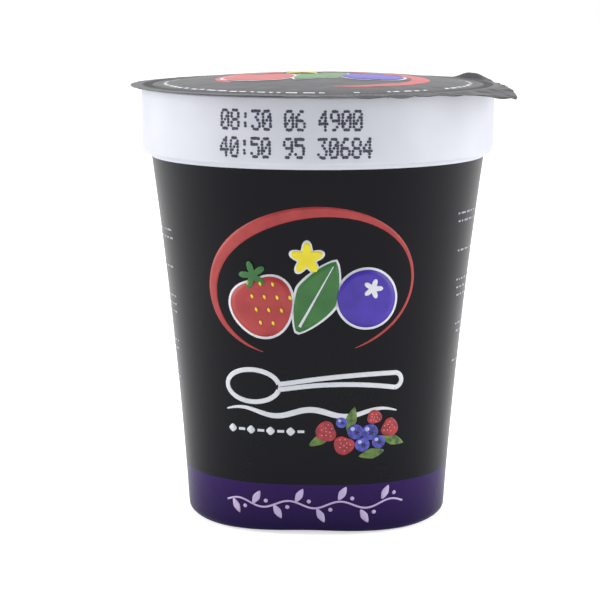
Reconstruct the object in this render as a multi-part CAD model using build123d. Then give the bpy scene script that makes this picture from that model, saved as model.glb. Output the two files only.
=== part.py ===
"""Shut yogurt pot: a tapered plastic pot with a wide collar, sealed by a foil lid with a pull tab.

The origin is on the pot's axis in the plane that it stands on, with +Z up.
The flat sides of the foot face +X, -X, +Y and -Y, and the printed front faces -Y.
All sizes are in millimetres.
"""
import math
import os

from build123d import *

# Pot: the wall grows from a rounded square foot to a round shoulder under the collar
pot_height = 91.3  # from the standing plane to the sealing face of the rim
rim_radius = 37.5  # outside of the collar
collar_height = 13.7
collar_step = 2.0  # how far the collar stands out from the shoulder
collar_edge_round = 0.6  # rounding of the collar's lower edge
rim_edge_round = 0.5  # rounding of the rim's outer edge, under the foil
foot_half_side = 27.4  # from the axis to a flat side of the foot
foot_corner_share = 0.84  # corner radius over half side, at the foot
shoulder_corner_share = 0.985  # the same at the shoulder, where the wall is all but round
foot_flare = 0.069  # how fast the half side grows at the foot, mm for each mm of height
wall_sections = 5  # sections that the wall is lofted through
heel_radius = 1.8  # rounding between the wall and the flat underside
scallop_rise = 0.55  # height of the shallow scallop under the middle of each side
scallop_half_width = 13.0
scallop_depth = 3.2  # how far each scallop reaches in from the wall

# Lid: a foil disc sealed to the rim, its panel pushed up by the filling, with a pull tab
foil_thickness = 0.2
foil_overhang = 2.3  # how far the foil disc reaches past the rim
seal_width = 4.1  # flat band of the foil that is sealed to the rim
panel_rise = 2.25  # height of the bulged panel over the flat foil
panel_edge_slope = 12.0  # degrees, at the panel's edge
tab_angle = -29.5  # degrees about the axis, from +X
tab_reach = 9.6  # how far the tab's tip reaches past the rim
tab_tip_radius = 5.0
tab_bend_radius = 35.0  # the tab droops past the rim in one gentle bend

shoulder_height = pot_height - collar_height
shoulder_radius = rim_radius - collar_step
foil_radius = rim_radius + foil_overhang
panel_radius = rim_radius - seal_width


def wall_half_side(height):
    """Half side of the wall at a height: a parabola that starts at the foot's flare."""
    flare_gain = shoulder_radius - foot_half_side - foot_flare * shoulder_height
    share = height / shoulder_height
    return foot_half_side + foot_flare * height + flare_gain * share**2


def wall_section(height):
    """Rounded square cut through the wall, which turns round as it rises."""
    half_side = wall_half_side(height)
    share = height / shoulder_height
    corner_share = foot_corner_share + (shoulder_corner_share - foot_corner_share) * share
    section = RectangleRounded(2 * half_side, 2 * half_side, corner_share * half_side)
    return Pos(0, 0, height) * section


def make_wall():
    """Solid wall and filling from the standing plane up to the shoulder, with a rounded heel."""
    steps = [shoulder_height * step / (wall_sections - 1) for step in range(wall_sections)]
    wall = loft([wall_section(height) for height in steps])
    heel = wall.edges().filter_by(lambda edge: edge.bounding_box().max.Z < heel_radius / 2)
    return fillet(heel, heel_radius)


def make_scallops():
    """Four large cylinders that lift the bottom edge a little under the middle of each side."""
    radius = (scallop_half_width**2 + scallop_rise**2) / (2 * scallop_rise)
    roller = Cylinder(radius, 2 * scallop_depth)
    roller = Pos(foot_half_side, 0, scallop_rise - radius) * Rot(0, 90, 0) * roller
    return [Rot(0, 0, quarter * 90) * roller for quarter in range(4)]


def make_collar():
    """Round collar with a rounded lower edge and a rounded rim."""
    collar = Cylinder(rim_radius, collar_height, align=(Align.CENTER, Align.CENTER, Align.MIN))
    edges = collar.edges().filter_by(GeomType.CIRCLE).sort_by(Axis.Z)
    collar = fillet(edges[-1], rim_edge_round)
    edges = collar.edges().filter_by(GeomType.CIRCLE).sort_by(Axis.Z)
    collar = fillet(edges[0], collar_edge_round)
    return Pos(0, 0, shoulder_height) * collar


def make_pot():
    """The whole pot as one solid, because the shut pot can't be seen into."""
    pot = make_wall() + make_collar()
    for scallop in make_scallops():
        pot -= scallop
    return pot


def foil_outline():
    """Foil disc and round tab tip in one outline, joined by two straight lines that touch both."""
    tip_centre = rim_radius + tab_reach - tab_tip_radius
    touch_angle = math.acos((foil_radius - tab_tip_radius) / tip_centre)
    across, along = math.sin(touch_angle), math.cos(touch_angle)
    flank = [
        (foil_radius * along, foil_radius * across),
        (tip_centre + tab_tip_radius * along, tab_tip_radius * across),
    ]
    web = make_face(Polyline((0, 0), *flank, *[(x, -y) for x, y in reversed(flank)], close=True))
    return Circle(foil_radius) + Pos(tip_centre, 0) * Circle(tab_tip_radius) + web


def make_panel():
    """Bulged panel over the filling, turned about the axis, with the foil under it."""
    edge_slope = math.radians(panel_edge_slope)
    top = Spline(
        (panel_radius, 0, foil_thickness),
        (0, 0, foil_thickness + panel_rise),
        tangents=[(-math.cos(edge_slope), 0, math.sin(edge_slope)), (-1, 0, 0)],
    )
    rest = Polyline((0, 0, foil_thickness + panel_rise), (0, 0, 0), (panel_radius, 0, 0),
                    (panel_radius, 0, foil_thickness))
    return revolve(make_face([top, rest]), Axis.Z)


def make_tab_bend():
    """Strip of foil past the rim, bent down about a line that touches the rim."""
    turn = math.asin((tab_reach + foil_thickness) / tab_bend_radius)
    under = tab_bend_radius
    over = tab_bend_radius + foil_thickness

    def bend_point(radius, angle):
        """Point of the bend at one radius from its centre, under the rim's edge."""
        return (rim_radius + radius * math.sin(angle), 0, radius * math.cos(angle) - under)

    lower = ThreePointArc(bend_point(under, 0), bend_point(under, turn / 2), bend_point(under, turn))
    upper = ThreePointArc(bend_point(over, turn), bend_point(over, turn / 2), bend_point(over, 0))
    tip = Line(bend_point(under, turn), bend_point(over, turn))
    root = Line(bend_point(over, 0), bend_point(under, 0))
    return extrude(make_face([lower, tip, upper, root]), foil_radius, both=True)


def make_lid():
    """Foil lid in one piece: flat seal, bulged panel, overhang and drooping tab."""
    outline = foil_outline()
    flat_foil = extrude(outline, foil_thickness)
    past_rim = Box(foil_radius, 3 * foil_radius, foil_radius, align=(Align.MIN, Align.CENTER, Align.CENTER))
    flat_foil -= Pos(rim_radius, 0, 0) * past_rim
    tab = extrude(outline, foil_radius / 2, both=True) & make_tab_bend()
    lid = flat_foil + make_panel() + tab
    return Pos(0, 0, pot_height) * Rot(0, 0, tab_angle) * lid


os.makedirs("parts", exist_ok=True)
export_step(make_pot(), "parts/pot.step")
export_step(make_lid(), "parts/lid.step")
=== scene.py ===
"""Looks of a shut yogurt pot: white moulded pot, glossy black print and a creased foil lid.

Lengths are worked out in millimetres and scaled to metres when a mesh is made.
The pot's axis is the Z axis, it stands on Z = 0 and its printed front faces -Y.
"""

import bmesh
import bpy
import numpy as np
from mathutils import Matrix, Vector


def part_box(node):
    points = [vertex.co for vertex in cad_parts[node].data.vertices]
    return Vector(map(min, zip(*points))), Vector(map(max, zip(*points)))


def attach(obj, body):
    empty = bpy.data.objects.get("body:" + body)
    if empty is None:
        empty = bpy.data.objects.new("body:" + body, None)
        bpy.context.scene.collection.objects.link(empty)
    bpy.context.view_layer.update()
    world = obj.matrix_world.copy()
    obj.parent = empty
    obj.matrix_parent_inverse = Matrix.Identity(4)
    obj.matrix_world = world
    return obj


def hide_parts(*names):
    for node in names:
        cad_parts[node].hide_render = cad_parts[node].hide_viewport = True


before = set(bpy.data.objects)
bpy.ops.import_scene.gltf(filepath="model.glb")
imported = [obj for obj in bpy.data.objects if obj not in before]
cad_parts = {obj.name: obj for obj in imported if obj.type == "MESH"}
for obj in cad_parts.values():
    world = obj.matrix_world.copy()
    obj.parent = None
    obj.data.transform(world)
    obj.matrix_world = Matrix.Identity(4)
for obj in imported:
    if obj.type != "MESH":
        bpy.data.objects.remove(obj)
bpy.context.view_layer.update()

MM = 0.001
WELD = 0.0005  # points of a piece nearer than this are one point, mm

# Sizes read from the frame, mm
pot_high = np.array(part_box("pot")[1]) / MM
lid_low, lid_high = (np.array(corner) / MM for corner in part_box("lid"))
POT_HEIGHT = pot_high[2]
RIM_RADIUS = pot_high[0]
LID_TOP = lid_high[2]
FOIL_RADIUS = -lid_low[0]

# Sizes that the frame's boxes don't give, as the part has them, mm
COLLAR_HEIGHT = 13.7
COLLAR_STEP = 2.0
COLLAR_EDGE_ROUND = 0.6
RIM_EDGE_ROUND = 0.5
FOOT_HALF_SIDE = 27.4
FOOT_CORNER_SHARE = 0.84
SHOULDER_CORNER_SHARE = 0.985
FOOT_FLARE = 0.069
HEEL_RADIUS = 1.8
SCALLOP_RISE = 0.55
FOIL_THICKNESS = 0.2
SEAL_WIDTH = 4.1
TAB_ANGLE = np.radians(-29.5)
TAB_REACH = 9.6
TAB_TIP_RADIUS = 5.0
TAB_BEND_RADIUS = 35.0

SHOULDER_HEIGHT = POT_HEIGHT - COLLAR_HEIGHT
SHOULDER_RADIUS = RIM_RADIUS - COLLAR_STEP
PANEL_RADIUS = RIM_RADIUS - SEAL_WIDTH
PANEL_RISE = LID_TOP - POT_HEIGHT - FOIL_THICKNESS

# Print, mm
BAND_TOP = 10.8  # upper edge of the purple band
PRINT_FOOT = 0.35  # the print starts just above the underside
PRINT_LAP = 0.9  # the print stops this far under the collar's rounded edge
PRINT_TURN = np.radians(-88.0)  # middle of the printed front, about the axis from +X
SEAM_HALF_WIDTH = 0.6  # unprinted stripe where the print's two ends meet at the back
INK_LIFT = 0.035  # each layer of ink stands this far over the one under it
INK_BODY = 0.02  # thickness of a film of ink

# Foil, mm
FOIL_BODY = 0.1  # the sheet's thickness, which it is given upwards from its modelled face
FOIL_INK_LIFT = 0.08  # with one layer's lift, this brings print just over the sheet's thickness
KNURLS = 180  # fine pressed ribs round the seal


# ---------------------------------------------------------------- materials

def srgb(code):
    """Linear colour of an sRGB hex code."""
    share = np.array([int(code[i:i + 2], 16) for i in (1, 3, 5)]) / 255
    linear = np.where(share <= 0.04045, share / 12.92, ((share + 0.055) / 1.055) ** 2.4)
    return (*linear.tolist(), 1.0)


def new_material(name):
    """Empty node material with its shader, and the shader's node tree."""
    material = bpy.data.materials.new(name)
    material.use_nodes = True
    tree = material.node_tree
    return material, tree, tree.nodes["Principled BSDF"]


def add(tree, kind, settings=None, values=None, links=None):
    """Adds a node: its settings, the values of its inputs, and links from other nodes' outputs."""
    node = tree.nodes.new(kind)
    for key, value in (settings or {}).items():
        setattr(node, key, value)
    for key, value in (values or {}).items():
        node.inputs[key].default_value = value
    for key, output in (links or {}).items():
        tree.links.new(output, node.inputs[key])
    return node


def set_shader(tree, shader, values, links=None):
    """Sets the shader's sockets and links."""
    for key, value in values.items():
        shader.inputs[key].default_value = value
    for key, output in (links or {}).items():
        tree.links.new(output, shader.inputs[key])


def moulded_polypropylene():
    """White injection-moulded polypropylene: half gloss, a little milky, with a faint orange peel."""
    material, tree, shader = new_material("moulded_white_polypropylene")
    place = add(tree, "ShaderNodeTexCoord").outputs["Object"]
    # Orange peel of about 1.5 mm
    peel = add(tree, "ShaderNodeTexNoise", values={"Scale": 650, "Detail": 1}, links={"Vector": place})
    # Uneven wall thickness, seen as slow shading over about 17 mm
    cloud = add(tree, "ShaderNodeTexNoise", values={"Scale": 60, "Detail": 2}, links={"Vector": place})
    tint = add(tree, "ShaderNodeValToRGB", links={"Fac": cloud.outputs["Fac"]})
    tint.color_ramp.elements[0].position = 0.3
    tint.color_ramp.elements[0].color = srgb("#DEE1EB")
    tint.color_ramp.elements[1].position = 0.7
    tint.color_ramp.elements[1].color = srgb("#E8EAF3")
    bump = add(tree, "ShaderNodeBump", values={"Strength": 0.06, "Distance": 0.0002},
               links={"Height": peel.outputs["Fac"]})
    set_shader(tree, shader, {
        "Roughness": 0.38, "IOR": 1.49, "Subsurface Weight": 0.15,
        "Subsurface Radius": (1.0, 1.0, 1.0), "Subsurface Scale": 0.001,
    }, {"Base Color": tint.outputs["Color"], "Normal": bump.outputs["Normal"]})
    return material


def gloss_print_painted_shading(name, upper, lower, low, high):
    """Gloss ink rolled on plastic: smooth and dark, with a soft shine and fine print grain. Its tone runs
    from the lower colour at the low height to the upper colour at the high one: painted light and shade
    over height, not the ink's own colour."""
    material, tree, shader = new_material(name)
    place = add(tree, "ShaderNodeTexCoord").outputs["Object"]
    height = add(tree, "ShaderNodeSeparateXYZ", links={"Vector": place}).outputs["Z"]
    share = add(tree, "ShaderNodeMapRange", values={"From Min": low * MM, "From Max": high * MM},
                links={"Value": height})
    # Painted light and shade: the print's tone shifts with height, which the ink itself doesn't do
    tone = add(tree, "ShaderNodeMix", {"data_type": "RGBA"}, {6: srgb(lower), 7: srgb(upper)},
               {0: share.outputs["Result"]})
    # Print grain of 0.4 mm
    grain = add(tree, "ShaderNodeTexNoise", values={"Scale": 2500, "Detail": 2}, links={"Vector": place})
    fleck = add(tree, "ShaderNodeMapRange", values={"To Min": 0.9, "To Max": 1.1},
                links={"Value": grain.outputs["Fac"]})
    colour = add(tree, "ShaderNodeVectorMath", {"operation": "SCALE"},
                 links={0: tone.outputs[2], "Scale": fleck.outputs["Result"]})
    # The film follows the moulded wall's peel of about 1.8 mm
    peel = add(tree, "ShaderNodeTexNoise", values={"Scale": 550, "Detail": 1}, links={"Vector": place})
    bump = add(tree, "ShaderNodeBump", values={"Strength": 0.05, "Distance": 0.0002},
               links={"Height": peel.outputs["Fac"]})
    set_shader(tree, shader, {"Roughness": 0.26, "IOR": 1.5, "Specular IOR Level": 0.18},
               {"Base Color": colour.outputs["Vector"], "Normal": bump.outputs["Normal"]})
    return material


def ink(name, code, deep=None, spot=4.0):
    """Flat printed ink, half gloss, that varies between two near tones over spots of a size in mm."""
    material, tree, shader = new_material(name)
    place = add(tree, "ShaderNodeTexCoord").outputs["Object"]
    spots = add(tree, "ShaderNodeTexNoise", values={"Scale": 1 / (spot * MM), "Detail": 3},
                links={"Vector": place})
    ramp = add(tree, "ShaderNodeValToRGB", links={"Fac": spots.outputs["Fac"]})
    ramp.color_ramp.elements[0].position = 0.35
    ramp.color_ramp.elements[0].color = srgb(deep or code)
    ramp.color_ramp.elements[1].position = 0.65
    ramp.color_ramp.elements[1].color = srgb(code)
    set_shader(tree, shader, {"Roughness": 0.32, "IOR": 1.5}, {"Base Color": ramp.outputs["Color"]})
    return material


def lidding_foil(name, tone, shade, metallic, roughness):
    """Lacquered lidding foil: dark print over rolled aluminium, satin, clouded between two tones and
    embossed with fine pebbles."""
    material, tree, shader = new_material(name)
    place = add(tree, "ShaderNodeTexCoord").outputs["Object"]
    # Clouds of about 5.5 mm, where the print over the metal is thinner or thicker
    cloud = add(tree, "ShaderNodeTexNoise", values={"Scale": 180, "Detail": 4}, links={"Vector": place})
    ramp = add(tree, "ShaderNodeValToRGB", links={"Fac": cloud.outputs["Fac"]})
    ramp.color_ramp.elements[0].position = 0.35
    ramp.color_ramp.elements[0].color = srgb(shade)
    ramp.color_ramp.elements[1].position = 0.7
    ramp.color_ramp.elements[1].color = srgb(tone)
    # Pebble embossing of about 0.8 mm, drawn a little coarser than the real one so that it shows
    pebble = add(tree, "ShaderNodeTexVoronoi", values={"Scale": 1200}, links={"Vector": place})
    bump = add(tree, "ShaderNodeBump", values={"Strength": 0.25, "Distance": 0.0001},
               links={"Height": pebble.outputs["Distance"]})
    set_shader(tree, shader, {"Metallic": metallic, "Roughness": roughness},
               {"Base Color": ramp.outputs["Color"], "Normal": bump.outputs["Normal"]})
    return material


# ---------------------------------------------------------------- meshes

def quads(rows, columns, start=0):
    """Faces of a grid of points stored row by row. A face looks along the cross product of the step
    to the next column and the step to the next row."""
    corner = np.arange(rows - 1)[:, None] * columns + np.arange(columns - 1)[None, :] + start
    return np.stack([corner, corner + 1, corner + columns + 1, corner + columns], -1).reshape(-1, 4)


def make_piece(name, grids, materials, face_materials=None, thickness=0.0):
    """One mesh piece from grids of points in mm, welded where points meet, with smooth shading. An
    open sheet is closed by its thickness, on the side that its faces look away from."""
    points, faces, start = [], [], 0
    for grid in grids:
        rows, columns = grid.shape[:2]
        points.append(grid.reshape(-1, 3))
        faces.append(quads(rows, columns, start))
        start += rows * columns
    mesh = bpy.data.meshes.new(name)
    mesh.from_pydata((np.concatenate(points) * MM).tolist(), [], np.concatenate(faces).tolist())
    if face_materials is not None:
        mesh.polygons.foreach_set("material_index", face_materials.astype(np.int32).ravel())
    mesh.polygons.foreach_set("use_smooth", np.ones(len(mesh.polygons), bool))
    for material in materials:
        mesh.materials.append(material)
    form = bmesh.new()
    form.from_mesh(mesh)
    bmesh.ops.remove_doubles(form, verts=form.verts, dist=WELD * MM)
    form.to_mesh(mesh)
    form.free()
    piece = bpy.data.objects.new(name, mesh)
    bpy.context.scene.collection.objects.link(piece)
    if thickness:
        solid = piece.modifiers.new("thickness", "SOLIDIFY")
        solid.thickness = thickness * MM
        solid.offset = -1
    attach(piece, "root")
    return piece


# ---------------------------------------------------------------- pot

def wall_radius(angle, height):
    """Distance from the axis to the wall: a rounded square whose half side follows a parabola
    in height and whose corner share grows evenly, so that it is all but round at the shoulder."""
    share = height / SHOULDER_HEIGHT
    gain = SHOULDER_RADIUS - FOOT_HALF_SIDE - FOOT_FLARE * SHOULDER_HEIGHT
    half = FOOT_HALF_SIDE + FOOT_FLARE * height + gain * share**2
    corner = half * (FOOT_CORNER_SHARE + (SHOULDER_CORNER_SHARE - FOOT_CORNER_SHARE) * share)
    across, along = np.abs(np.cos(angle)), np.abs(np.sin(angle))
    flat = half / np.maximum(across, along)
    inner = half - corner
    middle = inner * (across + along)
    arc = middle + np.sqrt(np.maximum(middle**2 - 2 * inner**2 + corner**2, 0))
    return np.where(np.minimum(across, along) * flat > inner, arc, flat)


def scallop(angle):
    """Lift of the bottom edge, as a cosine of four times the angle: nothing at the corners, the full
    rise at the middle of each side."""
    return SCALLOP_RISE * (1 + np.cos(4 * angle)) / 2


def pot_profile():
    """Rows of the pot's outline from the underside's middle, up the wall and over the rim, to the
    top's middle: height, distance added to the wall (or radius where round), 1 where round, share
    of the scallop, and the material of the faces that end at the row."""
    plastic, dark, purple = range(3)
    turn = np.linspace(0, np.pi / 2, 9)
    recess = 1.0
    ring_inset = HEEL_RADIUS + 2.2  # the standing ring, inside the rounded heel
    ramp_inset = ring_inset + 1.2
    rows = [(recess, 0, 1, 0, plastic),
            (recess, -0.7 * FOOT_HALF_SIDE, 0, 0, plastic),
            (recess, -0.35 * FOOT_HALF_SIDE, 0, 0, plastic),
            (recess, -ramp_inset, 0, 0, plastic),
            (0.15, -ring_inset - 0.3, 0, 0.4, plastic),
            (0.0, -ring_inset, 0, 0.8, plastic)]
    for angle in turn:
        height = HEEL_RADIUS * (1 - np.cos(angle))
        rows.append((height, -HEEL_RADIUS * (1 - np.sin(angle)), 0, np.cos(angle), purple))
    for height in np.linspace(HEEL_RADIUS, BAND_TOP, 9)[1:]:
        rows.append((height, 0, 0, 0, purple))
    for height in np.linspace(BAND_TOP, SHOULDER_HEIGHT - PRINT_LAP, 60)[1:]:
        rows.append((height, 0, 0, 0, dark))
    rows.append((SHOULDER_HEIGHT, 0, 0, 0, plastic))
    for angle in turn:
        rows.append((SHOULDER_HEIGHT + COLLAR_EDGE_ROUND * (1 - np.cos(angle)),
                     RIM_RADIUS - COLLAR_EDGE_ROUND * (1 - np.sin(angle)), 1, 0, plastic))
    for height in np.linspace(SHOULDER_HEIGHT + COLLAR_EDGE_ROUND, POT_HEIGHT - RIM_EDGE_ROUND, 12)[1:]:
        rows.append((height, RIM_RADIUS, 1, 0, plastic))
    for angle in turn[1:]:
        rows.append((POT_HEIGHT - RIM_EDGE_ROUND * (1 - np.sin(angle)),
                     RIM_RADIUS - RIM_EDGE_ROUND * (1 - np.cos(angle)), 1, 0, plastic))
    for radius in (PANEL_RADIUS, PANEL_RADIUS / 2, 0):
        rows.append((POT_HEIGHT, radius, 1, 0, plastic))
    return np.array(rows)


# The two print materials hold painted light and shade over height, on top of the print's own colour
def make_pot(plastic, black_print_painted_light, purple_print_painted_shade):
    """Pot as one closed surface: the profile's rows carried round the axis, from one edge of the
    unprinted seam at the back to its other edge, and then over the seam in two columns of faces."""
    rows = pot_profile()
    seam = np.pi / 2
    lap = SEAM_HALF_WIDTH / SHOULDER_RADIUS
    angle = np.concatenate([np.linspace(seam + lap, seam + 2 * np.pi - lap, 320),
                            [seam + 2 * np.pi, seam + 2 * np.pi + lap]])
    height, reach, is_round, lift = (rows[:, column, None] for column in range(4))
    around = angle[None, :]
    radius = np.where(is_round > 0, reach, np.maximum(wall_radius(around, height) + reach, 0))
    points = np.stack([radius * np.cos(around), radius * np.sin(around),
                       height + lift * scallop(around)], -1)
    face_material = np.repeat(rows[1:, 4:], len(angle) - 1, axis=1)
    face_material[:, -2:] = 0
    face_material[rows[1:, 0] < PRINT_FOOT] = 0
    piece = make_piece("pot_shell", [points], [plastic, black_print_painted_light, purple_print_painted_shade], face_material)
    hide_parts("pot")
    return piece


# ---------------------------------------------------------------- print on the wall

def on_wall(flat, layer):
    """Wraps points of the print's flat plan (across, height) round the wall: the angle is the
    distance across over the wall's half side at that height, and each ink layer stands a little
    prouder."""
    across, height = flat[..., 0], flat[..., 1]
    half_side = wall_radius(np.full_like(height, np.pi / 2), height)
    angle = PRINT_TURN + across / half_side
    radius = wall_radius(angle, height) + INK_LIFT * layer
    return np.stack([radius * np.cos(angle), radius * np.sin(angle), height], -1)


def on_collar(flat, layer):
    """Wraps points of the flat plan round the collar: the angle is the distance across over the
    rim's radius."""
    angle = PRINT_TURN + flat[..., 0] / RIM_RADIUS
    radius = RIM_RADIUS + INK_LIFT * layer
    return np.stack([radius * np.cos(angle), radius * np.sin(angle), flat[..., 1]], -1)


def stroke(path, half_width, steps=80, lanes=5):
    """Brush stroke: a path's points pushed sideways, along the path's normal, by shares of its
    half width. Both are functions of a share from 0 to 1 along the stroke."""
    share = np.linspace(0, 1, steps)
    line = path(share)
    slope = np.gradient(line, share, axis=0)
    normal = np.stack([-slope[:, 1], slope[:, 0]], -1) / np.linalg.norm(slope, axis=1)[:, None]
    side = np.linspace(1, -1, lanes)[None, :, None]
    return line[:, None, :] + normal[:, None, :] * side * half_width(share)[:, None, None]


def even(half_width):
    """Half width that stays the same all along a stroke."""
    return lambda share: np.full_like(share, half_width)


def blob(centre, outline, margin=0.0, steps=64, rings=6, turn=0.0):
    """Filled shape: rings of points from the centre out to an outline given as distance by angle,
    grown by a margin and turned about the centre."""
    angle = np.linspace(0, 2 * np.pi, steps)
    reach = outline(angle) + margin
    share = np.linspace(0, 1, rings)[:, None]
    around = (angle + turn)[None, :]
    return np.stack([centre[0] + share * reach * np.cos(around),
                     centre[1] + share * reach * np.sin(around)], -1)


def print_piece(name, shapes, layer, material, surface=on_wall):
    """One ink layer: flat shapes wrapped on a surface, as thick as a film of ink."""
    return make_piece(name, [surface(shape, layer) for shape in shapes], [material],
                      thickness=INK_BODY)


def ribbon(inks):
    """Open brush loop round the fruit: an oval path, leaning right, that starts low on the left and
    ends low on the right, wide on its left side and thin at both ends."""
    def path(share):
        angle = np.radians(-118 - 305 * share)
        reach = 1 + 0.06 * np.sin(2 * angle + 0.6)
        return np.stack([-0.6 + 20.6 * reach * np.cos(angle), 53.0 + 15.6 * reach * np.sin(angle)], -1)

    def half_width(share):
        taper = np.sin(np.pi * np.clip(share, 0.004, 0.996)) ** 0.55
        return taper * (0.95 + 0.55 * np.cos(2 * np.pi * (share - 0.3)))

    print_piece("ribbon", [stroke(path, half_width, steps=200)], 1, inks["red"])


def fruit(size):
    """Outline of a round fruit that narrows to its tip, pointing along its first direction: a circle
    with small waves once, twice and three times round."""
    def outline(angle):
        return size * (1 + 0.16 * np.cos(angle) + 0.07 * np.cos(3 * angle) - 0.05 * np.cos(2 * angle))
    return outline


def leaf(length, width):
    """Outline of a pointed leaf, as the distance from its middle to an ellipse with sharp ends: one
    whose power is 1.35 in place of 2. Length and width are half sizes."""
    def outline(angle):
        across, along = np.abs(np.sin(angle)), np.abs(np.cos(angle))
        return 1 / ((along / length) ** 1.35 + (across / width) ** 1.35) ** (1 / 1.35)
    return outline


def petals(count, inner, outer):
    """Outline of a blossom or calyx: the distance swings from an inner to an outer radius and back
    once a petal, as a cosine."""
    def outline(angle):
        return inner + (outer - inner) * (0.5 + 0.5 * np.cos(count * angle)) ** 0.8
    return outline


def disc(radius):
    """Outline of a round dot."""
    return lambda angle: np.full_like(angle, radius)


def main_emblem(inks):
    """Fruit emblem inside the ribbon: a red fruit, a green leaf, a blue fruit and a small yellow
    blossom over them, each on a white edge, with seeds, a leafy cap, a vein and a crown on top."""
    edge, seed_turn = 0.5, np.radians(-70)
    red = ((-11.0, 49.4), fruit(6.3), seed_turn)
    green = ((0.4, 50.6), leaf(8.4, 4.2), np.radians(62))
    blue = ((10.6, 50.2), disc(6.0), 0.0)
    blossom = ((-1.5, 58.6), petals(5, 1.6, 3.3), np.radians(90))
    shapes = {"red": red, "green": green, "blue": blue, "yellow": blossom}
    edges = [blob(centre, outline, edge, turn=turn) for centre, outline, turn in shapes.values()]
    print_piece("emblem_edges", edges, 2, inks["white"])
    for layer, (colour, (centre, outline, turn)) in enumerate(shapes.items(), start=3):
        print_piece(f"emblem_{colour}", [blob(centre, outline, turn=turn)], layer, inks[colour])
    seeds = []
    for row in range(4):
        for place in range(4 - abs(row - 1)):
            centre = (-13.6 + 2.6 * place + 0.9 * row, 53.2 - 2.7 * row)
            seeds.append(blob(centre, leaf(0.55, 0.28), steps=12, rings=2, turn=seed_turn))
    cap = blob((-12.6, 54.9), petals(5, 1.0, 3.0), steps=80, turn=np.radians(108))
    vein = stroke(lambda share: np.stack([-3.0 + 6.8 * share, 44.4 + 12.6 * share], -1),
                  lambda share: 0.28 * (1 - 0.7 * share), steps=24)
    crown = blob((11.8, 52.2), petals(5, 0.9, 2.1), steps=80)
    top = 3 + len(shapes)
    print_piece("emblem_seeds", seeds, top, inks["yellow"])
    print_piece("emblem_caps", [cap], top, inks["green"])
    print_piece("emblem_lines", [vein, crown], top, inks["white"])


def spoon_sign(inks):
    """White line drawing of a spoon over a wave of cream, across the front: an open oval bowl, a
    handle of two lines that part towards a round end, and a wave that swells in its middle."""
    def bowl(share):
        angle = np.radians(10 + 340 * share)
        return np.stack([-12.8 + 5.6 * np.cos(angle), 31.6 + 3.4 * np.sin(angle)], -1)

    def handle(side):
        return lambda share: np.stack(
            [-7.4 + 24.0 * share, 31.6 + side * (0.55 + 1.0 * share**2) + 1.6 * np.sin(2.4 * share)], -1)

    def end(share):
        angle = np.radians(90 - 180 * share)
        return np.stack([16.6 + 1.5 * np.cos(angle), 32.68 + 1.55 * np.sin(angle)], -1)

    def wave(share):
        return np.stack([-18.6 + 35.6 * share, 26.2 + 0.7 * np.sin(5 * np.pi * share)], -1)

    def swell(share):
        return 0.12 + 0.5 * np.sin(np.pi * share) ** 0.7

    pen = even(0.5)
    lines = [stroke(bowl, pen, 90), stroke(handle(1), pen), stroke(handle(-1), pen),
             stroke(end, pen, 30), stroke(wave, swell, 120)]
    print_piece("spoon_sign", lines, 1, inks["white"])


def bar(left, right, height, half_height=0.3, steps=12):
    """Short straight bar with square ends, at one height."""
    def path(share):
        return np.stack([left + (right - left) * share, np.full_like(share, height)], -1)

    return stroke(path, even(half_height), steps, 2)


def small_signs(inks):
    """Row of small white diamonds and bars under the spoon."""
    height, pitch = 22.2, 4.1
    shapes = []
    for index in range(4):
        left = -17.2 + pitch * index
        shapes.append(blob((left, height), leaf(0.9, 0.9), steps=24, rings=2))
        shapes.append(bar(left + 1.4, left + 2.8, height, 0.28))
    print_piece("small_signs", shapes, 1, inks["white"])


def fruit_picture(inks):
    """Small picture of mixed fruit lying in a heap: red fruits, blue fruits and leaves. A fruit is
    given by its centre, size and turn, and its seeds follow a sunflower's spiral."""
    leaves = [((1.2, 20.6), 30), ((7.4, 24.8), 75), ((16.0, 20.0), -20), ((11.6, 17.4), 190)]
    reds = [((2.6, 22.4), 2.1, 200), ((6.0, 19.6), 2.0, 250),
            ((15.2, 22.8), 1.9, -30), ((12.2, 24.9), 1.5, 100)]
    blues = [((8.2, 22.2), 1.6), ((11.2, 22.0), 1.7), ((9.6, 19.4), 1.5),
             ((13.0, 19.8), 1.4), ((5.4, 24.2), 1.1)]
    leaf_shapes = [blob(centre, leaf(2.8, 1.1), turn=np.radians(turn), steps=40) for centre, turn in leaves]
    red_shapes = [blob(centre, fruit(size), turn=np.radians(turn), steps=40) for centre, size, turn in reds]
    blue_shapes = [blob(centre, disc(size), steps=40) for centre, size in blues]
    print_piece("picture_leaves", leaf_shapes, 1, inks["leaf"])
    print_piece("picture_reds", red_shapes, 2, inks["berry_red"])
    print_piece("picture_blues", blue_shapes, 3, inks["berry_blue"])
    spiral_turn = 137.5
    seeds = []
    for (x, z), size, turn in reds:
        for index in range(9):
            way = np.radians(turn + spiral_turn * index)
            reach = 0.24 * size * np.sqrt(index + 0.3)
            centre = (x + reach * np.cos(way), z + reach * np.sin(way))
            seeds.append(blob(centre, disc(0.13), steps=9, rings=2))
    print_piece("picture_seeds", seeds, 3, inks["berry_seed"])
    shine = [blob((x - 0.35 * size, z + 0.4 * size), disc(0.28 * size), steps=16, rings=2)
             for (x, z), size in blues]
    crowns = [blob((x + 0.2 * size, z - 0.1 * size), petals(5, 0.14 * size, 0.42 * size), steps=40, rings=3)
              for (x, z), size in blues]
    print_piece("picture_shine", shine, 4, inks["berry_shine"])
    print_piece("picture_crowns", crowns, 4, inks["berry_deep"])


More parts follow.
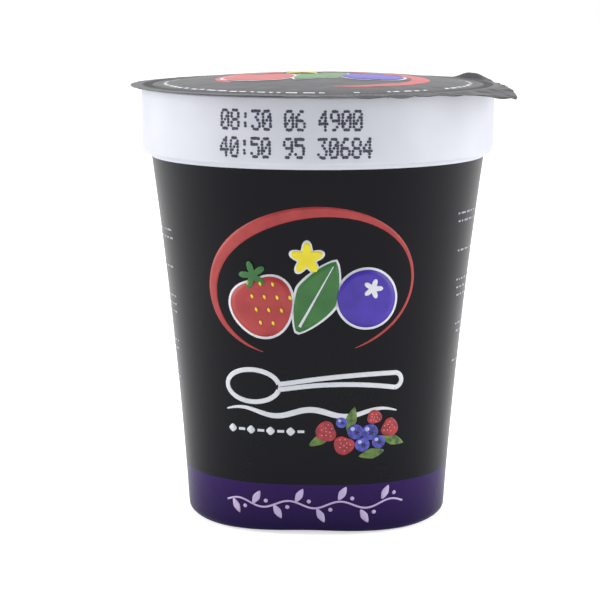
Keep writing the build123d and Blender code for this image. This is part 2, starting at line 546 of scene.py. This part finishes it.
def band_garland(inks):
    """Thin lilac garland on the purple band: a wavy stem with sprigs of one leaf and one dot, below
    it and above it by turns."""
    def stem(share):
        return np.stack([-18.6 + 37.0 * share, 6.5 + 0.75 * np.sin(7 * np.pi * share)], -1)

    sprigs, pitch = 8, 1 / 8.4
    shapes = [stroke(stem, even(0.2), 160, 2)]
    for index in range(sprigs):
        (across, height), (dot_across, dot_height) = stem((index + np.array([0.5, 0.95])) * pitch)
        side = 1 if index % 2 else -1
        shapes.append(blob((across, height + 1.75 * side), leaf(1.7, 0.75), steps=32, rings=3,
                           turn=np.radians(62 * side)))
        shapes.append(blob((dot_across, dot_height + 1.3 * side), disc(0.42), steps=16, rings=2))
    print_piece("band_garland", shapes, 1, inks["lilac"])


def side_notes(inks):
    """Groups of short pale bars on the sides and back, in place of small print: four columns, each
    with its turn in degrees from the middle of the front, top height and width."""
    chance = np.random.default_rng(11)
    line_pitch, group_gap, bar_gap = 1.7, 4.6, 0.55
    wall = 32.0  # the wall's radius about half way up
    shapes = []
    for turn, top, width in ((-74, 62, 11), (72, 66, 11), (122, 62, 15), (-122, 62, 15)):
        middle = np.radians(turn) * wall
        height = top
        for lines in (2, 1, 3, 2, 1):
            for _ in range(lines):
                left = middle - width / 2 + chance.uniform(0, 3)
                while left < middle + width / 2 - 1:
                    right = min(left + chance.uniform(0.7, 2.6), middle + width / 2)
                    shapes.append(bar(left, right, height, 0.2, 4))
                    left = right + bar_gap
                height -= line_pitch
            height -= group_gap
    print_piece("side_notes", shapes, 1, inks["note"])


# Dot rows of plain numerals, seven rows of five dots each
NUMERALS = {
    "0": "01110 10001 10011 10101 11001 10001 01110",
    "3": "11111 00010 00100 00010 00001 10001 01110",
    "4": "00010 00110 01010 10010 11111 00010 00010",
    "5": "11111 10000 11110 00001 00001 10001 01110",
    "6": "00110 01000 10000 11110 10001 10001 01110",
    "8": "01110 10001 10001 01110 10001 10001 01110",
    "9": "01110 10001 10001 01111 00001 00010 01100",
    ":": "00000 00100 00100 00000 00100 00100 00000",
    " ": "00000 00000 00000 00000 00000 00000 00000",
}


def coder_dots(inks):
    """Two rows of dot-matrix numerals sprayed on the collar by a date coder, whose dots drift a
    little and differ in size."""
    chance = np.random.default_rng(5)
    column_pitch, row_pitch, digit_pitch = 0.38, 0.6, 2.27
    dot_radius, unevenness = 0.31, 0.03
    shapes = []
    for text, top, left in (("08:30 06 4900", 88.4, -19.3), ("40:50 95 30684", 82.95, -19.5)):
        for place, digit in enumerate(text):
            for row, line in enumerate(NUMERALS[digit].split()):
                for column in (index for index, mark in enumerate(line) if mark == "1"):
                    drift = chance.normal(0, unevenness, 2)
                    centre = (left + digit_pitch * place + column_pitch * column + drift[0],
                              top - row_pitch * row + drift[1])
                    radius = dot_radius + chance.uniform(-unevenness, unevenness)
                    shapes.append(blob(centre, disc(radius), steps=13, rings=2))
    print_piece("coder_dots", shapes, 1, inks["coder"], on_collar)


# ---------------------------------------------------------------- foil lid

def from_tab(angle):
    """Turn from the tab's middle to an angle, from minus half a turn to half a turn."""
    return np.arctan2(np.sin(angle - TAB_ANGLE), np.cos(angle - TAB_ANGLE))


def outline_reach(angle):
    """Distance from the axis to the foil's cut edge: a disc with a tab whose straight flanks
    touch both the disc and the tab's round tip."""
    turn = from_tab(angle)
    tip_centre = RIM_RADIUS + TAB_REACH - TAB_TIP_RADIUS
    touch = np.arccos((FOIL_RADIUS - TAB_TIP_RADIUS) / tip_centre)
    flank = FOIL_RADIUS / np.cos(np.abs(turn) - touch)
    tip = tip_centre * np.cos(turn) + np.sqrt(
        np.maximum(TAB_TIP_RADIUS**2 - (tip_centre * np.sin(turn)) ** 2, 0))
    tip_turn = np.arctan2(TAB_TIP_RADIUS * np.sin(touch), tip_centre + TAB_TIP_RADIUS * np.cos(touch))
    reach = np.where(np.abs(turn) < touch, flank, FOIL_RADIUS)
    return np.where(np.abs(turn) < tip_turn, tip, reach)


def smooth(value, low, high):
    """Rises smoothly from 0 at low to 1 at high: three squares less two cubes of the share between."""
    share = np.clip((value - low) / (high - low), 0, 1)
    return share * share * (3 - 2 * share)


def creases(x, y, count, size, seed):
    """Mean of randomly turned folds: each is a bowed, sharp-topped wave of about one size in mm,
    from -1 to 1."""
    chance = np.random.default_rng(seed)
    total = 0
    for _ in range(count):
        turn, shift = chance.uniform(0, np.pi), chance.uniform(0, 2 * np.pi)
        length = size * chance.uniform(0.6, 1.6)
        bow = 0.9 * np.sin((x * np.sin(turn) - y * np.cos(turn)) / (2.3 * length) + shift)
        phase = (x * np.cos(turn) + y * np.sin(turn)) * 2 * np.pi / length + shift + bow
        total = total + (1 - 2 * np.abs(np.sin(phase / 2)))
    return total / count


def foil_height(x, y):
    """Height of the foil's modelled face: flat on the rim, bulged over the filling, pressed with a
    ring and fine knurls where it is sealed, creased over the filling and at its loose edge, bent
    down at the tab, and sagging and curled up by turns on the overhang."""
    radius, angle = np.hypot(x, y), np.arctan2(y, x)
    flat = POT_HEIGHT + FOIL_THICKNESS
    bulge = (PANEL_RISE - 0.12) * np.clip(1 - (radius / PANEL_RADIUS) ** 2, 0, 1) ** 0.8
    ring = 0.2 * np.exp(-((radius - PANEL_RADIUS - 0.9) / 0.45) ** 2)
    knurl_band = smooth(radius, 35.0, 35.4) * (1 - smooth(radius, 37.0, RIM_RADIUS))
    knurls = 0.1 * knurl_band * np.cos(KNURLS * angle)
    over_panel = 1 - smooth(radius, PANEL_RADIUS - 2, PANEL_RADIUS + 1)
    folds = 0.1 * over_panel * creases(x, y, 7, 9.0, 3) + 0.05 * over_panel * creases(x, y, 6, 3.2, 4)
    # The tab bends as a parabola, which starts at the rim with the bend's radius
    along = x * np.cos(TAB_ANGLE) + y * np.sin(TAB_ANGLE)
    droop = np.maximum(along - RIM_RADIUS, 0) ** 2 / (2 * TAB_BEND_RADIUS)
    # The loose edge behind the tab is curled up, and it is folded most near the tab
    free = smooth(radius, RIM_RADIUS, FOIL_RADIUS)
    side = np.degrees(from_tab(angle))
    curl = 1.25 * smooth(side, 46, 62) * (1 - smooth(side, 64, 74)) * smooth(radius, 38.2, 39.5)
    near_tab = 1 - smooth(np.abs(side), 50, 80)
    sag = free * (0.1 + 0.22 * near_tab) * (0.5 + 0.5 * np.sin(5 * angle + 1.0))
    edge_folds = free * (0.07 + 0.26 * near_tab) * creases(x, y, 5, 5.0, 8)
    return flat + bulge + ring + knurls + folds - droop + curl - sag + edge_folds


def make_lid(foil):
    """Foil lid as one sheet: rings of points from the middle out to the cut edge, closer together
    from the seal outwards. They are round as far as the rim, and from there stretch out to the cut
    edge."""
    panel_share, rim_share = 0.84, 0.94
    angle = np.linspace(0, 2 * np.pi, 541)
    share = np.concatenate([np.linspace(0, panel_share, 44), np.linspace(panel_share, 1, 34)[1:]])[:, None]
    reach = outline_reach(angle)[None, :]
    round_reach = rim_share * FOIL_RADIUS
    stretch = (share - rim_share) / (1 - rim_share)
    radius = np.where(share < rim_share, share * FOIL_RADIUS,
                      round_reach + stretch * (reach - round_reach))
    x, y = radius * np.cos(angle), radius * np.sin(angle)
    piece = make_piece("foil_lid", [np.stack([x, y, foil_height(x, y)], -1)], [foil],
                       thickness=FOIL_BODY)
    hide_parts("lid")
    return piece


def on_foil(flat, layer):
    """Lays points of a flat plan on the foil, following its creases."""
    x, y = flat[..., 0], flat[..., 1]
    return np.stack([x, y, foil_height(x, y) + FOIL_INK_LIFT + INK_LIFT * layer], -1)


def lid_print(inks):
    """Print on the lid: the pot's ribbon and fruit again, drawn simpler, and a ring of dashes. Its
    shapes have many points, so that they follow the foil."""
    def path(share):
        angle = np.radians(-150 - 290 * share)
        return np.stack([1.0 + 21 * np.cos(angle), -7.0 + 18 * np.sin(angle)], -1)

    def half_width(share):
        return 2.2 * np.sin(np.pi * np.clip(share, 0.01, 0.99)) ** 0.5

    print_piece("lid_ribbon", [stroke(path, half_width, 240, 13)], 1, inks["lid_red"], on_foil)
    fine = dict(steps=120, rings=24)
    shapes = {
        "lid_fruit": ((-12.0, -7.0), fruit(7.2), -70, inks["lid_red"]),
        "lid_leaf": ((1.0, -6.0), leaf(9.5, 4.8), 60, inks["lid_green"]),
        "lid_round": ((12.0, -6.5), disc(6.4), 0, inks["lid_blue"]),
        "lid_blossom": ((-3.5, 5.5), petals(5, 2.2, 4.4), 90, inks["lid_yellow"]),
    }
    edges = [blob(centre, outline, 0.7, turn=np.radians(turn), **fine)
             for centre, outline, turn, _ in shapes.values()]
    print_piece("lid_edges", edges, 2, inks["lid_white"], on_foil)
    for layer, (name, (centre, outline, turn, colour)) in enumerate(shapes.items(), start=3):
        print_piece(name, [blob(centre, outline, turn=np.radians(turn), **fine)], layer, colour, on_foil)
    lid_dashes(inks)


def lid_dashes(inks):
    """Ring of short pale dashes near the panel's edge, in place of small print. Their lengths and
    gaps, in degrees, are uneven, and now and then a gap is wide, as between words."""
    chance = np.random.default_rng(21)
    last_start, wide_gap, wide_share = 355, 9, 0.08
    reach = PANEL_RADIUS - 1.3 + np.array([[0.75, 0.0]])
    dashes, turn = [], 0.0
    while turn < last_start:
        length = chance.uniform(1.2, 4.2)
        span = np.radians(turn + length * np.linspace(1, 0, 10))[:, None]
        dashes.append(np.stack([reach * np.cos(span), reach * np.sin(span)], -1))
        turn += length + chance.uniform(1.0, 2.4)
        if chance.uniform() < wide_share:
            turn += wide_gap
    print_piece("lid_dashes", dashes, 1, inks["lid_white"], on_foil)


# ---------------------------------------------------------------- the pot's pieces

inks = {
    "red": ink("warm_red_ink", "#BE4141", "#B03538"),
    "white": ink("opaque_white_ink", "#EEF0F6", "#E4E7F0"),
    "yellow": ink("yellow_ink", "#FFEF28", "#F6E324"),
    "green": ink("green_ink", "#3C7D3C", "#337036"),
    "blue": ink("blue_ink", "#4B32B9", "#40289F"),
    "lilac": ink("lilac_ink", "#D8C6F0", "#CDB9E8"),
    "leaf": ink("leaf_green_ink", "#7C9A45", "#3E5E30", 1.5),
    "berry_red": ink("fruit_red_ink", "#C83C46", "#8E2A38", 1.2),
    "berry_blue": ink("fruit_blue_ink", "#6464DC", "#34388A", 1.4),
    "berry_shine": ink("pale_blue_ink", "#BFC8F4"),
    "berry_seed": ink("fruit_seed_ink", "#F0A890"),
    "berry_deep": ink("deep_blue_ink", "#20245C"),
    "note": ink("grey_note_ink", "#A4A6B0"),
    "coder": ink("coder_ink", "#4A4C66", "#3B3D55", 0.7),
    "lid_red": ink("lid_red_ink", "#D2504F", "#C24547"),
    "lid_green": ink("lid_green_ink", "#58984F", "#4A8546"),
    "lid_blue": ink("lid_blue_ink", "#5A48C4", "#4C3CB0"),
    "lid_yellow": ink("lid_yellow_ink", "#F6E84A", "#E9D93A"),
    "lid_white": ink("lid_white_ink", "#E6E8EE", "#D8DBE4"),
}
make_pot(moulded_polypropylene(),
         # Both prints carry painted light and shade over height: the black is painted lighter near its
         # lower edge, and the purple is painted darker towards the heel as painted shade near the floor
         gloss_print_painted_shading("gloss_black_print_painted_light", "#080812", "#0D0E16", BAND_TOP, SHOULDER_HEIGHT),
         gloss_print_painted_shading("gloss_purple_print", "#31125C", "#210848", 2.0, BAND_TOP))
ribbon(inks)
main_emblem(inks)
spoon_sign(inks)
small_signs(inks)
fruit_picture(inks)
band_garland(inks)
side_notes(inks)
coder_dots(inks)
make_lid(lidding_foil("printed_lidding_foil", "#4A4A50", "#38383D", 0.55, 0.34))
lid_print(inks)


# ---------------------------------------------------------------- stage, lights and camera

FLOOR_GLOW = 0.62  # added for the camera alone, so that the floor looks white and keeps a shadow
ROOM_LIGHT = 0.3  # light from in front of the pot, where 1 is white
BACKDROP_LIGHT = 0.85  # light from behind it


def make_stage():
    """Plain pale floor that keeps the pot's shadow, and a white surround that is bright behind the
    pot, as a lit backdrop is, and dim in front of it, as the room behind the camera is."""
    bpy.ops.mesh.primitive_plane_add(size=6)
    floor = bpy.context.object
    floor.name = "floor"
    material, tree, shader = new_material("pale_floor")
    rays = add(tree, "ShaderNodeLightPath")
    seen = add(tree, "ShaderNodeMath", {"operation": "MULTIPLY"}, {1: FLOOR_GLOW},
               {0: rays.outputs["Is Camera Ray"]})
    set_shader(tree, shader, {"Base Color": (0.85, 0.85, 0.85, 1), "Roughness": 0.9,
                              "Specular IOR Level": 0.0, "Emission Color": (1, 1, 1, 1)},
               {"Emission Strength": seen.outputs[0]})
    floor.data.materials.append(material)
    world = bpy.data.worlds.new("studio")
    bpy.context.scene.world = world
    world.use_nodes = True
    tree = world.node_tree
    towards = add(tree, "ShaderNodeSeparateXYZ",
                  links={"Vector": add(tree, "ShaderNodeTexCoord").outputs["Generated"]})
    level = add(tree, "ShaderNodeMapRange", {"interpolation_type": "SMOOTHSTEP"},
                {"From Min": -0.35, "From Max": 0.55, "To Min": ROOM_LIGHT, "To Max": BACKDROP_LIGHT},
                {"Value": towards.outputs["Y"]})
    rays = add(tree, "ShaderNodeLightPath")
    strength = add(tree, "ShaderNodeMath", {"operation": "MAXIMUM"},
                   links={0: level.outputs["Result"], 1: rays.outputs["Is Camera Ray"]})
    background = tree.nodes["Background"]
    background.inputs["Color"].default_value = (1, 1, 1, 1)
    tree.links.new(strength.outputs[0], background.inputs["Strength"])


def make_softbox(name, place, size, power, turn):
    """Large rectangular lamp: its place and sides in metres, its power in watts, and its turn."""
    lamp = bpy.data.lights.new(name, "AREA")
    lamp.shape = "RECTANGLE"
    lamp.size, lamp.size_y = size
    lamp.energy = power
    softbox = bpy.data.objects.new(name, lamp)
    softbox.location = place
    softbox.rotation_euler = turn
    bpy.context.scene.collection.objects.link(softbox)


def make_camera():
    """Camera a little higher than the lid and slightly to the right of the printed front, looking
    slightly down. Its lengths are in metres."""
    turn, tilt = np.radians(3.6), np.radians(9.1)
    distance, height, shift = 0.475, 0.121, 0.0038
    lens = bpy.data.cameras.new("camera")
    lens.lens = 133.4
    camera = bpy.data.objects.new("camera", lens)
    camera.location = (-shift * np.cos(turn) + distance * np.sin(turn),
                       -shift * np.sin(turn) - distance * np.cos(turn), height)
    camera.rotation_euler = (np.pi / 2 - tilt, 0, turn)
    bpy.context.scene.collection.objects.link(camera)
    bpy.context.scene.camera = camera


make_stage()
make_softbox("left_softbox", place=(-0.75, 0.05, 0.25), size=(0.8, 0.9), power=4.4,
             turn=(0, np.radians(-80), 0))
make_softbox("right_softbox", place=(0.75, 0.05, 0.25), size=(0.8, 0.9), power=4.2,
             turn=(0, np.radians(80), 0))
make_softbox("top_softbox", place=(0, 0.1, 0.9), size=(0.9, 0.9), power=6, turn=(0, 0, 0))
make_camera()
bpy.context.scene.view_settings.view_transform = "Standard"
